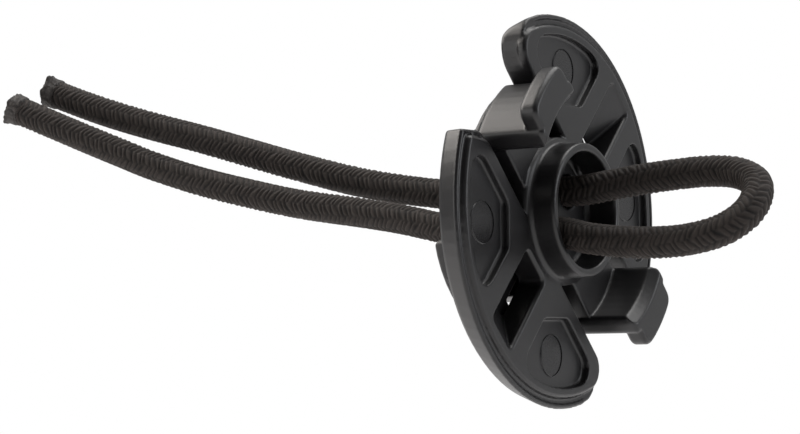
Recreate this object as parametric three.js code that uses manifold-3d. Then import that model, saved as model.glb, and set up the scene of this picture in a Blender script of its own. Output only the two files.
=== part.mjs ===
// A squeeze-release lock for a loop of shock cord, in millimetres.
//
// Part frame: the origin is the centre of the face that seats on a panel. +X runs along the collar's
// axis towards the cord's loop, and +Z is up.
// Lock frame, used inside the turned group: x runs from the lower lobe to the upper lobe, y from the
// lower hook to the upper hook, and z along the collar's axis towards the loop. All of the lock's
// moulded pieces look the same after half a turn about z.
import * as THREE from 'three';
import { mergeVertices } from 'three/addons/utils/BufferGeometryUtils.js';
import Module from 'manifold-3d';

const wasm = await Module();
wasm.setup();

// ---- Driving dimensions -------------------------------------------------------------------------
const gap = 0.3; // left between separate pieces that touch
const overlap = 0.4; // how far joined stock runs into its neighbour
const overcut = 1; // how far a cutting solid runs past what it cuts
const roundMiddle = 1 - Math.SQRT1_2; // a two-step edge's middle point, as a share of its radius
const sharedEdge = 0.47; // what one corner may take of an edge between two rounded corners
const wholeEdge = 0.95; // and of an edge whose other corner is sharp

const cordRadius = 2.0;
const sheathWall = 0.55;
const coreClearance = 0.45; // from the rubber core to its sheath
const strandOffset = 4.0; // from the axis to each strand inside the lock
const strandClearance = 0.35;

const discRadius = 26.5;
const plateThickness = 4.1;
const slotHalfWidth = 7.4; // half the width of the open slot that a hook stands in
const lobeCornerRadius = 4.4; // at the round end of a lobe
const squareEndAngle = THREE.MathUtils.degToRad(65.5); // where the rim stops at the other end
const squareEndDrop = 3.6; // how much further back that end meets the slot
const squareEndCorners = [0.9, 2.8]; // its radius at the rim and at the slot
const edgeRound = 0.35;
const rimDraft = 1.1; // how much smaller the rim is at the back
const rimChamfer = 0.7;
const rimLipDepth = 0.35; // from the seating face back to the rim's front edge
const rimLipWidth = 0.65;
const grooveWidth = 0.85; // between the rim's lip and the seating land
const grooveDepth = 0.45;

const windowInner = 10.6; // along the lobe, from the axis
const windowOuter = 23.2;
const windowHalfWidth = 2.9;
const windowCorner = 0.8;
const windowRampLength = 6.5; // the outer end slopes down to the back over this length

const padDepth = 1.1; // shallow recesses beside each window
const padInner = 9.7;
const padSide = 6.3;
const padChamfer = 4.4;
const padRim = 2.8; // width left between the recess and the rim
const padCorner = 1.2;
const padRimCorner = 2.6;
const padEndRadius = 2.4;

const backSkin = 1.3; // left under the recesses when the back is cored out
const backWall = 1.5;
const ribThickness = 1.0; // of the one rib across each cored pocket
const ribSetback = 0.6; // from the lobe's back to the rib
const ribAngle = THREE.MathUtils.degToRad(38);

const collarOuterRadius = 9.0;
const collarWall = 1.2;
const collarHeight = 3.7;
const collarFillet = 0.5;
const cupDepth = 0.9; // the cup's floor lies this far behind the seating face
const floorThickness = 1.9;
const hubMargin = 1.0; // the round hub stands this far outside the collar

const webHalfWidth = 4.9;
const webThickness = 2.3;
const webDrop = 0.3; // the web's front lies this far behind the seating face
const hookRootRadius = 12.4; // where the web bends
const hookRootGap = 0.4;
const armInnerRadius = 15.9;
const armOuterRadius = 18.9;
const armHalfWidth = 5.4;
const armBack = -3.6;
const gripDepth = 3.75; // from the seating face to the underside of the hook's lip
const lipThickness = 2.7;
const lipOuterRadius = 21.8;
const lipInnerRadius = 16.3;
const lipHalfWidth = 4.9;
const lipCorner = 2.0;
const lipChamfer = 1.3; // along the hook's inner front edge
const hookEdge = 0.4;

const housingNeckRadius = 9.4; // where it seats in the back of the hub
const housingRadius = 12.0;
const housingLength = 9.3;
const housingEdge = 0.75;
const mouthFlare = 0.9; // a strand hole widens by this much at the back
const flangeRadius = 17.4; // closes the windows from behind
const flangeThickness = 0.8;
const thumbClearance = 0.3; // left between a pressed pad and the housing
const buttonPadWall = 2.0;
const buttonPadHeight = 5.4;
const buttonPadAngle = THREE.MathUtils.degToRad(30); // half the arc that a thumb rests on
const buttonEdge = 0.45;
const buttonTravel = 2.0;
const frameThickness = 2.0; // of a button's rails and jaw
const frameSpacing = 3.0; // between the two buttons' frames, along the axis
const railWidth = 1.6;
const railClearance = 1.2; // from a strand to the rail beside it
const jawThickness = 1.2;
const jawTeeth = 3;
const jawToothDepth = 0.35;
const gripRidges = 5;
const gripRidgeRadius = 0.35;
const gripRidgePitch = THREE.MathUtils.degToRad(5);

const springWire = 0.25;
const springRadius = 1.4;
const springTurns = 6;
const springWall = 1.15; // left between a strand hole and the spring's pocket
const springPinRadius = 0.75;
const springPinLength = 1.3;

const sealedEndLength = 2.4;
const sealedEndShoulder = 1.4; // where a melted end starts to narrow
const sealedEndTip = 1.5; // its radius at the tip

const loopSteps = 26; // along the loop, and along each tail
const tailSteps = 14;

// ---- Places worked out from them ----------------------------------------------------------------
const coreRadius = cordRadius - sheathWall - coreClearance;
const backRimRadius = discRadius - rimDraft;
const hubRadius = collarOuterRadius + hubMargin;
const cupRadius = collarOuterRadius - collarWall;
const floorBack = -cupDepth - floorThickness;
const housingFront = floorBack - gap;
const housingBack = housingFront - housingLength;
const strandHoleRadius = cordRadius + strandClearance;
const lipUnder = gripDepth;
const lipFront = gripDepth + lipThickness;
const flangeFront = -plateThickness - gap;
const flangeBack = flangeFront - flangeThickness;
const buttonPadFront = flangeBack - gap;
const buttonMiddle = buttonPadFront - buttonPadHeight / 2;
const railInner = cordRadius + railClearance;
const railOuter = railInner + railWidth;
const jawOuter = strandOffset - cordRadius - gap; // the jaw's toothed face, from the axis
const jawInner = jawOuter - jawThickness;
const springSeat = strandOffset + strandHoleRadius + springWall;
const buttonPadInner = housingRadius + buttonTravel + thumbClearance;
const buttonPadRadius = buttonPadInner + buttonPadWall;

// ---- Making and joining solids ------------------------------------------------------------------
function solid(geometry) {
  const bare = geometry.clone();
  bare.deleteAttribute('normal');
  bare.deleteAttribute('uv');
  const merged = mergeVertices(bare, 1e-5);
  return new wasm.Manifold(
    new wasm.Mesh({
      numProp: 3,
      vertProperties: new Float32Array(merged.attributes.position.array),
      triVerts: new Uint32Array(merged.index.array),
    }),
  );
}

function geometryOf(manifold) {
  const mesh = manifold.getMesh();
  const geometry = new THREE.BufferGeometry();
  geometry.setAttribute('position', new THREE.BufferAttribute(mesh.vertProperties, 3));
  geometry.setIndex(new THREE.BufferAttribute(mesh.triVerts, 1));
  geometry.computeVertexNormals();
  return geometry;
}

// A flat shape made into a slab between two heights, with its edges rounded over.
function slab(shape, low, high, round = 0, curveSegments = 8) {
  const geometry = new THREE.ExtrudeGeometry(shape, {
    depth: high - low - 2 * round,
    bevelEnabled: round > 0,
    bevelThickness: round,
    bevelSize: round,
    bevelOffset: -round,
    bevelSegments: 1,
    curveSegments,
  });
  return geometry.translate(0, 0, low + round);
}

function box(lowX, highX, lowY, highY, lowZ, highZ) {
  const geometry = new THREE.BoxGeometry(highX - lowX, highY - lowY, highZ - lowZ);
  return geometry.translate((lowX + highX) / 2, (lowY + highY) / 2, (lowZ + highZ) / 2);
}

function turned(geometry, angle) {
  return geometry.clone().rotateZ(angle);
}

// Both copies of what half a turn about the axis repeats.
function bothEnds(geometry) {
  return [geometry, turned(geometry, Math.PI)];
}

function join(base, geometries) {
  return geometries.reduce((whole, geometry) => whole.add(solid(geometry)), base);
}

function cut(base, geometries) {
  return geometries.reduce((whole, geometry) => whole.subtract(solid(geometry)), base);
}

// A closed outline through corners given as [x, y, radius], each rounded to its radius.
function roundedOutline(corners) {
  const shape = new THREE.Shape();
  corners.forEach(([x, y, radius], index) => {
    const here = new THREE.Vector2(x, y);
    const [beforeX, beforeY, beforeRadius] = corners[(index + corners.length - 1) % corners.length];
    const [afterX, afterY, afterRadius] = corners[(index + 1) % corners.length];
    const toBefore = new THREE.Vector2(beforeX, beforeY).sub(here);
    const toAfter = new THREE.Vector2(afterX, afterY).sub(here);
    const half = Math.abs(toBefore.angle() - toAfter.angle()) / 2;
    const wanted = radius / Math.abs(Math.tan(half));
    const room = (side, other) => side.length() * (other > 0 ? sharedEdge : wholeEdge);
    const reach = Math.min(wanted, room(toBefore, beforeRadius), room(toAfter, afterRadius));
    const from = here.clone().addScaledVector(toBefore.normalize(), reach);
    const to = here.clone().addScaledVector(toAfter.normalize(), reach);
    if (index === 0) shape.moveTo(from.x, from.y);
    else shape.lineTo(from.x, from.y);
    if (radius > 0) shape.quadraticCurveTo(here.x, here.y, to.x, to.y);
  });
  shape.closePath();
  return shape;
}

function circle(x, y, radius) {
  const shape = new THREE.Shape();
  shape.absarc(x, y, radius, 0, 2 * Math.PI);
  return shape;
}

// ---- The hub: plate, lobes, windows, recesses, collar and webs ----------------------------------
// One lobe: the part of a disc beyond a straight slot edge. One end is round. The other is cut off
// at a slant, with a small corner at the rim and a soft one at the slot.
function lobeShape(radius, corner) {
  const centreX = slotHalfWidth + corner;
  const centreY = Math.sqrt((radius - corner) ** 2 - centreX ** 2);
  const roundEnd = Math.atan2(centreY, centreX);
  const onRim = (angle) => [radius * Math.cos(angle), radius * Math.sin(angle)];
  const [squareX, squareY] = onRim(-squareEndAngle);
  const [rimCorner, slotCorner] = squareEndCorners;
  const corners = [
    [slotHalfWidth, squareY + squareEndDrop, slotCorner],
    [squareX, squareY, rimCorner],
  ];
  const steps = 30;
  for (let step = 1; step < steps; step += 1) {
    const angle = -squareEndAngle + ((squareEndAngle + roundEnd) * step) / steps;
    corners.push([...onRim(angle), 0]);
  }
  const endSteps = 10;
  for (let step = 0; step <= endSteps; step += 1) {
    const angle = roundEnd + ((Math.PI - roundEnd) * step) / endSteps;
    corners.push([centreX + corner * Math.cos(angle), centreY + corner * Math.sin(angle), 0]);
  }
  return roundedOutline(corners);
}

function windowPath(margin) {
  const half = windowHalfWidth + margin;
  return roundedOutline([
    [windowInner - margin, -half, windowCorner],
    [windowInner - margin, half, windowCorner],
    [windowOuter + margin, half, windowCorner],
    [windowOuter + margin, -half, windowCorner],
  ]);
}

// The recess beside a window: bounded by the slot edge, a slanted corner, the window and the rim.
function padShape(inner, side, radius, end, mirror) {
  const centreX = inner + end;
  const centreY = Math.sqrt((radius - end) ** 2 - centreX ** 2);
  const low = Math.asin(side / radius);
  const high = Math.atan2(centreY, centreX);
  const points = [
    [inner, side + padChamfer, padCorner],
    [inner + padChamfer, side, padCorner],
    [radius * Math.cos(low), side, padRimCorner],
  ];
  const rimSteps = 9;
  for (let step = 2; step < rimSteps; step += 1) {
    const angle = low + ((high - low) * step) / rimSteps;
    points.push([radius * Math.cos(angle), radius * Math.sin(angle), 0]);
  }
  const endSteps = 5;
  for (let step = 0; step <= endSteps; step += 1) {
    const angle = high + ((Math.PI - high) * step) / endSteps;
    points.push([centreX + end * Math.cos(angle), centreY + end * Math.sin(angle), 0]);
  }
  const placed = points.map(([x, y, r]) => [x, y * mirror, r]);
  return roundedOutline(mirror > 0 ? placed : placed.reverse());
}

function hubLathe() {
  const bevel = edgeRound;
  const profile = [
    [0, floorBack],
    [hubRadius, floorBack],
    [hubRadius, -bevel],
    [hubRadius - bevel, 0],
    [collarOuterRadius + collarFillet, 0],
    [collarOuterRadius + collarFillet * roundMiddle, collarFillet * roundMiddle],
    [collarOuterRadius, collarFillet],
    [collarOuterRadius, collarHeight - bevel],
    [collarOuterRadius - bevel * roundMiddle, collarHeight - bevel * roundMiddle],
    [collarOuterRadius - bevel, collarHeight],
    [cupRadius + bevel, collarHeight],
    [cupRadius + bevel * roundMiddle, collarHeight - bevel * roundMiddle],
    [cupRadius, collarHeight - bevel],
    [cupRadius, -cupDepth + collarFillet],
    [cupRadius - collarFillet, -cupDepth],
    [0, -cupDepth],
  ];
  const points = profile.map(([x, y]) => new THREE.Vector2(x, y));
  return new THREE.LatheGeometry(points, 64).rotateX(Math.PI / 2);
}

// The slope that closes the outer end of a window towards the back.
function windowRamp() {
  const slope = new THREE.Shape();
  slope.moveTo(windowOuter - windowRampLength, -plateThickness);
  slope.lineTo(windowOuter + overlap, -plateThickness);
  slope.lineTo(windowOuter + overlap, -edgeRound);
  slope.lineTo(windowOuter, -edgeRound);
  slope.closePath();
  const half = windowHalfWidth + overlap;
  const geometry = new THREE.ExtrudeGeometry(slope, { depth: 2 * half, bevelEnabled: false });
  return geometry.rotateX(Math.PI / 2).translate(0, half, 0);
}

// The rim's section: a drafted wall between two chamfers.
function rimSolid() {
  const profile = [
    [0, -plateThickness - overlap],
    [backRimRadius - rimChamfer - overlap, -plateThickness - overlap],
    [backRimRadius, rimChamfer - plateThickness],
    [discRadius, -rimChamfer],
    [discRadius - rimChamfer, 0],
    [0, 0],
  ];
  const points = profile.map(([x, y]) => new THREE.Vector2(x, y));
  return solid(new THREE.LatheGeometry(points, 96).rotateX(Math.PI / 2));
}

// A slab of the lobe's outline, drawn in from the rim by a margin.
function lobeSlab(margin, low, high, round) {
  const shape = lobeShape(discRadius - margin, lobeCornerRadius - margin);
  shape.holes.push(windowPath(0));
  return slab(shape, low, high, round);
}

// Both lobes: a body up to the rim's lip, a groove inside the lip, and the land that seats.
function lobes() {
  const grooveFloor = -rimLipDepth - grooveDepth;
  const body = lobeSlab(-edgeRound, -plateThickness, -rimLipDepth, edgeRound);
  const groove = lobeSlab(rimLipWidth, grooveFloor, overcut, 0);
  const land = lobeSlab(rimLipWidth + grooveWidth, grooveFloor - 2 * edgeRound, 0, edgeRound);
  const rim = join(solid(body), [turned(body, Math.PI)]).intersect(rimSolid());
  return join(cut(rim, bothEnds(groove)), bothEnds(land));
}

function frontRecesses() {
  const radius = discRadius - padRim;
  return [1, -1].map((side) => {
    const shape = padShape(padInner, padSide, radius, padEndRadius, side);
    return slab(shape, -padDepth, overcut);
  });
}

// Cored pockets behind the recesses, with one stiffening rib left across each.
function backPockets() {
  const inner = slotHalfWidth + backWall;
  const side = windowHalfWidth + backWall;
  const radius = backRimRadius - backWall;
  const depth = -padDepth - backSkin;
  return [1, -1].map((mirror) => {
    const shape = padShape(inner, side, radius, lobeCornerRadius - backWall, mirror);
    return slab(shape, -plateThickness - overcut, depth);
  });
}

function backRibs() {
  const start = hubRadius;
  const end = backRimRadius - backWall / 2;
  const low = -plateThickness + ribSetback;
  const high = -padDepth - backSkin + overlap;
  const rib = box(start, end, -ribThickness / 2, ribThickness / 2, low, high);
  return [turned(rib, ribAngle), turned(rib, -ribAngle)];
}

function webShape(from, to) {
  return roundedOutline([
    [-webHalfWidth, from, 0],
    [webHalfWidth, from, 0],
    [webHalfWidth, to, 0],
    [-webHalfWidth, to, 0],
  ]);
}

function hubWeb() {
  const end = hookRootRadius - hookRootGap / 2;
  return slab(webShape(collarOuterRadius - collarWall / 2, end), -webDrop - webThickness, -webDrop);
}

function hubPlate() {
  let hub = solid(hubLathe()).add(lobes());
  hub = cut(hub, [slab(circle(0, 0, cupRadius), -cupDepth + collarFillet, collarHeight / 2)]);
  hub = cut(hub, frontRecesses().flatMap(bothEnds));
  hub = cut(hub, backPockets().flatMap(bothEnds));
  hub = join(hub, backRibs().flatMap(bothEnds));
  hub = join(hub, bothEnds(windowRamp()));
  hub = join(hub, bothEnds(hubWeb()));
  const seat = slab(circle(0, 0, housingNeckRadius + gap), -plateThickness - overcut, floorBack, 0, 16);
  const strands = bothEnds(slab(circle(strandOffset, 0, strandHoleRadius), floorBack - overcut, overcut));
  return cut(hub, [seat, ...strands]);
}

// ---- The hooks: web, curved arm and lip ---------------------------------------------------------
// A piece of a ring about the axis, centred on +y, given half its width.
function ringShape(inner, outer, half, corner) {
  const arc = (radius) => {
    const steps = 8;
    const spread = Math.asin(half / radius);
    const cornerRoom = corner * 1.2; // no point lies nearer to an end than this
    const points = [];
    for (let step = 0; step <= steps; step += 1) {
      const angle = spread - (2 * spread * step) / steps;
      const fromEnd = radius * (spread - Math.abs(angle));
      const atEnd = step === 0 || step === steps;
      if (!atEnd && fromEnd < cornerRoom) continue;
      points.push([radius * Math.sin(angle), radius * Math.cos(angle), atEnd ? corner : 0]);
    }
    return points;
  };
  return roundedOutline([...arc(outer), ...arc(inner).reverse()]);
}

function snapHook() {
  const start = hookRootRadius + hookRootGap / 2;
  const web = slab(webShape(start, armInnerRadius + overlap), -webDrop - webThickness, -webDrop);
  const arm = slab(ringShape(armInnerRadius, armOuterRadius, armHalfWidth, 1), armBack, lipFront, hookEdge);
  const lip = slab(
    ringShape(lipInnerRadius, lipOuterRadius, lipHalfWidth, lipCorner),
    lipUnder,
    lipFront,
    hookEdge,
  );
  const chamfer = new THREE.CylinderGeometry(
    armInnerRadius + lipChamfer + overcut,
    armInnerRadius - overcut,
    lipChamfer + 2 * overcut,
    96,
  );
  chamfer.rotateX(Math.PI / 2).translate(0, 0, lipFront - lipChamfer / 2);
  return cut(join(solid(web), [arm, lip]), [chamfer]);
}

// ---- The housing behind the hub -----------------------------------------------------------------
function buttonLayer(direction) {
  return buttonMiddle - (direction * frameSpacing) / 2;
}

// What a button's rails and jaw need, from outside the housing to the end of its travel. It runs out
// at the housing's front, where the hub closes it.
function buttonChannel(direction) {
  const low = buttonLayer(direction) - frameThickness / 2 - gap;
  const high = housingFront + overcut;
  const inside = -jawInner + buttonTravel + gap;
  const jawStart = jawOuter + gap;
  const channelEnd = housingRadius + 2 * overcut;
  const pieces = [
    box(-jawStart, inside, -railOuter - gap, railOuter + gap, low, high),
    box(-channelEnd, inside, railInner - gap, railOuter + gap, low, high),
    box(-channelEnd, inside, -railOuter - gap, -railInner + gap, low, high),
  ];
  return direction < 0 ? pieces.map((piece) => turned(piece, Math.PI)) : pieces;
}

function springPocket(direction) {
  const radius = springRadius + springWire + gap;
  const depth = housingRadius + overcut - springSeat;
  const pocket = new THREE.CylinderGeometry(radius, radius, depth, 16);
  pocket.rotateZ(Math.PI / 2).translate(-springSeat - depth / 2, 0, buttonLayer(direction));
  return direction < 0 ? turned(pocket, Math.PI) : pocket;
}

function backHousing() {
  const edge = housingEdge;
  const profile = [
    [0, housingBack],
    [housingRadius - edge, housingBack],
    [housingRadius - edge * roundMiddle, housingBack + edge * roundMiddle],
    [housingRadius, housingBack + edge],
    [housingRadius, flangeBack],
    [flangeRadius, flangeBack],
    [flangeRadius, flangeFront],
    [housingNeckRadius, flangeFront],
    [housingNeckRadius, housingFront],
    [0, housingFront],
  ];
  const points = profile.map(([x, y]) => new THREE.Vector2(x, y));
  let housing = solid(new THREE.LatheGeometry(points, 48).rotateX(Math.PI / 2));
  housing = cut(housing, [...buttonChannel(1), ...buttonChannel(-1)]);
  housing = cut(housing, [springPocket(1), springPocket(-1)]);
  const bore = slab(circle(strandOffset, 0, strandHoleRadius), housingBack - overcut, housingFront + overcut);
  const mouthLength = mouthFlare + overlap;
  const mouthRadius = strandHoleRadius + mouthLength;
  const mouth = new THREE.CylinderGeometry(strandHoleRadius, mouthRadius, mouthLength, 24);
  mouth.rotateX(Math.PI / 2).translate(strandOffset, 0, housingBack + mouthFlare - mouthLength / 2);
  return cut(housing, [...bothEnds(bore), ...bothEnds(mouth)]);
}

// ---- The two release buttons --------------------------------------------------------------------
function buttonPadShape() {
  const corners = [];
  const steps = 8;
  for (let step = 0; step <= steps; step += 1) {
    const angle = Math.PI - buttonPadAngle + (2 * buttonPadAngle * step) / steps;
    const end = step === 0 || step === steps ? buttonEdge * 2 : 0;
    corners.push([buttonPadRadius * Math.cos(angle), buttonPadRadius * Math.sin(angle), end]);
  }
  for (let step = steps; step >= 0; step -= 1) {
    const angle = Math.PI - buttonPadAngle + (2 * buttonPadAngle * step) / steps;
    corners.push([buttonPadInner * Math.cos(angle), buttonPadInner * Math.sin(angle), 0]);
  }
  return roundedOutline(corners);
}

// The lower button, on the -x side: thumb pad, two rails and a toothed jaw past its strand.
function releaseButton() {
  const middle = buttonLayer(1);
  const low = middle - frameThickness / 2;
  const high = middle + frameThickness / 2;
  const padLow = buttonPadFront - buttonPadHeight;
  const railEnd = -buttonPadInner * Math.cos(buttonPadAngle / 2) - overlap;
  let button = solid(slab(buttonPadShape(), padLow, buttonPadFront, buttonEdge));
  button = join(button, [
    box(railEnd, -jawInner, railInner, railOuter, low, high),
    box(railEnd, -jawInner, -railOuter, -railInner, low, high),
    box(-jawOuter, -jawInner, -railOuter, railOuter, low, high),
  ]);
  const pin = new THREE.CylinderGeometry(springPinRadius, springPinRadius, springPinLength + overlap, 12);
  pin.rotateZ(Math.PI / 2).translate(-buttonPadInner + (springPinLength - overlap) / 2, 0, middle);
  const ridges = Array.from({ length: gripRidges }, (_, index) => {
    const angle = Math.PI + (index - (gripRidges - 1) / 2) * gripRidgePitch;
    const height = buttonPadHeight - 4 * buttonEdge;
    const ridge = new THREE.CylinderGeometry(gripRidgeRadius, gripRidgeRadius, height, 8);
    return ridge
      .rotateX(Math.PI / 2)
      .translate(
        buttonPadRadius * Math.cos(angle),
        buttonPadRadius * Math.sin(angle),
        padLow + buttonPadHeight / 2,
      );
  });
  button = join(button, [pin, ...ridges]);
  const pitch = (2 * cordRadius) / jawTeeth;
  const notches = Array.from({ length: jawTeeth }, (_, index) => {
    const y = (index - (jawTeeth - 1) / 2) * pitch;
    const notch = new THREE.CylinderGeometry(jawToothDepth, jawToothDepth, frameThickness + overcut, 8);
    return notch.rotateX(Math.PI / 2).translate(-jawOuter, y, middle);
  });
  return cut(button, notches);
}

// The upper button is the same moulding, turned over end for end.
function turnedOver(geometry) {
  return geometry.clone().translate(0, 0, -buttonMiddle).rotateY(Math.PI).translate(0, 0, buttonMiddle);
}

// ---- The return springs -------------------------------------------------------------------------
class Helix extends THREE.Curve {
  constructor(radius, length, turns) {
    super();
    this.radius = radius;
    this.length = length;
    this.turns = turns;
  }

  getPoint(t, target = new THREE.Vector3()) {
    const angle = 2 * Math.PI * this.turns * t;
    return target.set(-this.length * t, this.radius * Math.cos(angle), this.radius * Math.sin(angle));
  }
}

function polygon(radius, sides) {
  const shape = new THREE.Shape();
  for (let side = 0; side < sides; side += 1) {
    const angle = (2 * Math.PI * (side + 0.5)) / sides;
    if (side === 0) shape.moveTo(radius * Math.cos(angle), radius * Math.sin(angle));
    else shape.lineTo(radius * Math.cos(angle), radius * Math.sin(angle));
  }
  shape.closePath();
  return shape;
}

function returnSpring(direction) {
  const clear = gap + springWire;
  const length = buttonPadInner - springSeat - 2 * clear;
  const helix = new Helix(springRadius, length, springTurns);
  const wire = new THREE.ExtrudeGeometry(polygon(springWire, 6), {
    steps: springTurns * 10,
    extrudePath: helix,
    bevelEnabled: false,
  });
  wire.translate(-springSeat - clear, 0, buttonLayer(direction));
  return direction < 0 ? turned(wire, Math.PI) : wire;
}

// ---- The shock cord, in the part frame ----------------------------------------------------------
// Each route is a list of points picked by hand; both ends of the loop and the starts of the tails
// lie inside the strand holes in the cup's floor.
const loopRoute = [
  [-2.0, 2.83, 2.83],
  [1.5, 2.87, 2.87],
  [5.5, 3.4, 3.4],
  [9.8, 3.98, 3.98],
  [14.8, 4.42, 4.42],
  [19.4, 4.6, 4.6],
  [23.6, 4.15, 4.15],
  [26.8, 2.7, 2.7],
  [28.0, 0.5, 0.5],
  [27.4, -1.8, -1.8],
  [24.9, -3.7, -3.7],
  [20.6, -4.75, -4.75],
  [15.6, -4.95, -4.95],
  [10.6, -4.62, -4.62],
  [6.0, -4.0, -4.0],
  [1.5, -3.0, -3.0],
  [-2.0, -2.83, -2.83],
];
const upperTailRoute = [
  [-2.4, 2.83, 2.83],
  [-8.0, 2.83, 2.83],
  [-13.6, 2.81, 2.85],
  [-21.0, 2.3, 3.4],
  [-32.7, 1.2, 5.4],
  [-43.2, -0.4, 8.2],
  [-51.1, -1.8, 10.6],
  [-58.8, -3.4, 13.0],
  [-65.0, -4.8, 14.8],
  [-71.1, -6.2, 16.7],
  [-76.5, -7.4, 18.6],
  [-81.6, -8.6, 20.6],
];
const lowerTailRoute = [
  [-2.4, -2.83, -2.83],
  [-8.0, -2.83, -2.83],
  [-13.4, -2.8, -2.6],
  [-18.5, -2.7, -1.5],
  [-24.1, -2.8, -0.2],
  [-30.2, -3.0, 0.9],
  [-40.6, -4.1, 2.6],
  [-48.5, -5.4, 4.4],
  [-56.3, -6.9, 6.5],
  [-63.6, -8.4, 9.0],
  [-68.4, -9.5, 11.0],
  [-73.4, -10.6, 13.1],
  [-79.0, -11.9, 15.5],
  [-84.5, -13.2, 17.9],
];

function curveThrough(route) {
  return new THREE.CatmullRomCurve3(route.map((point) => new THREE.Vector3(...point)));
}

function sheathTube(route, steps) {
  const shape = polygon(cordRadius, 8);
  shape.holes.push(polygon(cordRadius - sheathWall, 8));
  const extrudePath = curveThrough(route);
  return new THREE.ExtrudeGeometry(shape, { steps, extrudePath, bevelEnabled: false });
}

function coreRod(route, steps) {
  const extrudePath = curveThrough(route);
  return new THREE.ExtrudeGeometry(polygon(coreRadius, 8), { steps, extrudePath, bevelEnabled: false });
}

// The melted blob that closes a tail's cut end, in line with the tail.
function sealedEnd(route) {
  const end = new THREE.Vector3(...route[route.length - 1]);
  const direction = curveThrough(route).getTangent(1);
  const profile = [
    [0, 0],
    [cordRadius, 0],
    [cordRadius, sealedEndShoulder],
    [sealedEndTip, sealedEndLength],
    [0, sealedEndLength],
  ];
  const points = profile.map(([x, y]) => new THREE.Vector2(x, y));
  const blob = new THREE.LatheGeometry(points, 12);
  blob.applyQuaternion(new THREE.Quaternion().setFromUnitVectors(new THREE.Vector3(0, 1, 0), direction));
  const start = end.addScaledVector(direction, gap);
  return blob.translate(start.x, start.y, start.z);
}

// ---- Finishes and assembly ----------------------------------------------------------------------
const finishes = {
  moulding: { color: 0x17171a, roughness: 0.42, metalness: 0 },
  button: { color: 0x1b1b1e, roughness: 0.48, metalness: 0 },
  spring: { color: 0xb4b6b8, roughness: 0.3, metalness: 1 },
  sheath: { color: 0x1f1b19, roughness: 0.85, metalness: 0 },
  core: { color: 0xcfc2a2, roughness: 0.7, metalness: 0 },
  sealed: { color: 0x4a4a4c, roughness: 0.8, metalness: 0 },
};

function piece(name, geometry, finish) {
  const mesh = new THREE.Mesh(geometry, new THREE.MeshStandardMaterial(finishes[finish]));
  mesh.name = name;
  return mesh;
}

const part = new THREE.Group();
const lock = new THREE.Group();
const diagonal = Math.SQRT1_2;
const turn = new THREE.Matrix4().makeBasis(
  new THREE.Vector3(0, diagonal, diagonal),
  new THREE.Vector3(0, -diagonal, diagonal),
  new THREE.Vector3(1, 0, 0),
);
lock.quaternion.setFromRotationMatrix(turn);
part.add(lock);

const hook = geometryOf(snapHook());
const button = geometryOf(releaseButton());
lock.add(
  piece('hub_plate', geometryOf(hubPlate()), 'moulding'),
  piece('snap_hook_upper', hook, 'moulding'),
  piece('snap_hook_lower', turned(hook, Math.PI), 'moulding'),
  piece('back_housing', geometryOf(backHousing()), 'moulding'),
  piece('release_button_lower', button, 'button'),
  piece('release_button_upper', turnedOver(button), 'button'),
  piece('return_spring_lower', returnSpring(1), 'spring'),
  piece('return_spring_upper', returnSpring(-1), 'spring'),
);
part.add(
  piece('cord_loop', sheathTube(loopRoute, loopSteps), 'sheath'),
  piece('cord_loop_core', coreRod(loopRoute, loopSteps), 'core'),
  piece('cord_tail_upper', sheathTube(upperTailRoute, tailSteps), 'sheath'),
  piece('cord_tail_upper_core', coreRod(upperTailRoute, tailSteps), 'core'),
  piece('cord_tail_upper_end', sealedEnd(upperTailRoute), 'sealed'),
  piece('cord_tail_lower', sheathTube(lowerTailRoute, tailSteps), 'sheath'),
  piece('cord_tail_lower_core', coreRod(lowerTailRoute, tailSteps), 'core'),
  piece('cord_tail_lower_end', sealedEnd(lowerTailRoute), 'sealed'),
);

export default part;
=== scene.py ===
import math

import bpy
import numpy as np
from mathutils import Matrix, Vector, noise


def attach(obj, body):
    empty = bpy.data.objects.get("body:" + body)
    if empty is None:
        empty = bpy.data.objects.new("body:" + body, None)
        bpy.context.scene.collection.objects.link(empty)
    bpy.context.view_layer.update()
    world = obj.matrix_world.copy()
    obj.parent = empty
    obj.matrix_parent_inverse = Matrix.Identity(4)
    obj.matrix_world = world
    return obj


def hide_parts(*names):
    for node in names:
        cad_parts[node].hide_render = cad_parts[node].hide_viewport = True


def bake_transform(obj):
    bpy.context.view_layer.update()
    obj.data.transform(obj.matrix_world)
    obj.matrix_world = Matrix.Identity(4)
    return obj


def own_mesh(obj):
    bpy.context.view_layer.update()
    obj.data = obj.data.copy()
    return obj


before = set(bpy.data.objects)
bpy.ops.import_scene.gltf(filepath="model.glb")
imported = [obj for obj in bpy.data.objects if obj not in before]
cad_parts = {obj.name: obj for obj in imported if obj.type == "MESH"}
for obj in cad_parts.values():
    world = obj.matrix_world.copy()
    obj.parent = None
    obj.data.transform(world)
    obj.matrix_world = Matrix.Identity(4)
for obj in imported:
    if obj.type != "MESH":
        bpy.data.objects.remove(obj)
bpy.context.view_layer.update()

millimetre = 0.001
diagonal = math.sqrt(0.5)
lockTurn = Matrix(((0, 0, 1), (diagonal, -diagonal, 0), (diagonal, diagonal, 0)))  # lock axes to part axes


def lockPoint(x, y, z):  # millimetres along the lobes, the hooks and the collar's axis
    return lockTurn @ Vector((x, y, z)) * millimetre


def pick(piece):  # the only thing selected, and active
    bpy.ops.object.select_all(action="DESELECT")
    piece.select_set(True)
    bpy.context.view_layer.objects.active = piece
    return piece


def useModifier(piece, kind, **settings):
    pick(piece)
    modifier = piece.modifiers.new(kind.lower(), kind)
    for setting, value in settings.items():
        setattr(modifier, setting, value)
    bpy.ops.object.modifier_apply(modifier=modifier.name)


def settle(piece):  # puts the piece's place into its mesh
    pick(piece)
    bpy.ops.object.transform_apply(location=True, rotation=True, scale=True)
    return piece


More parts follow.
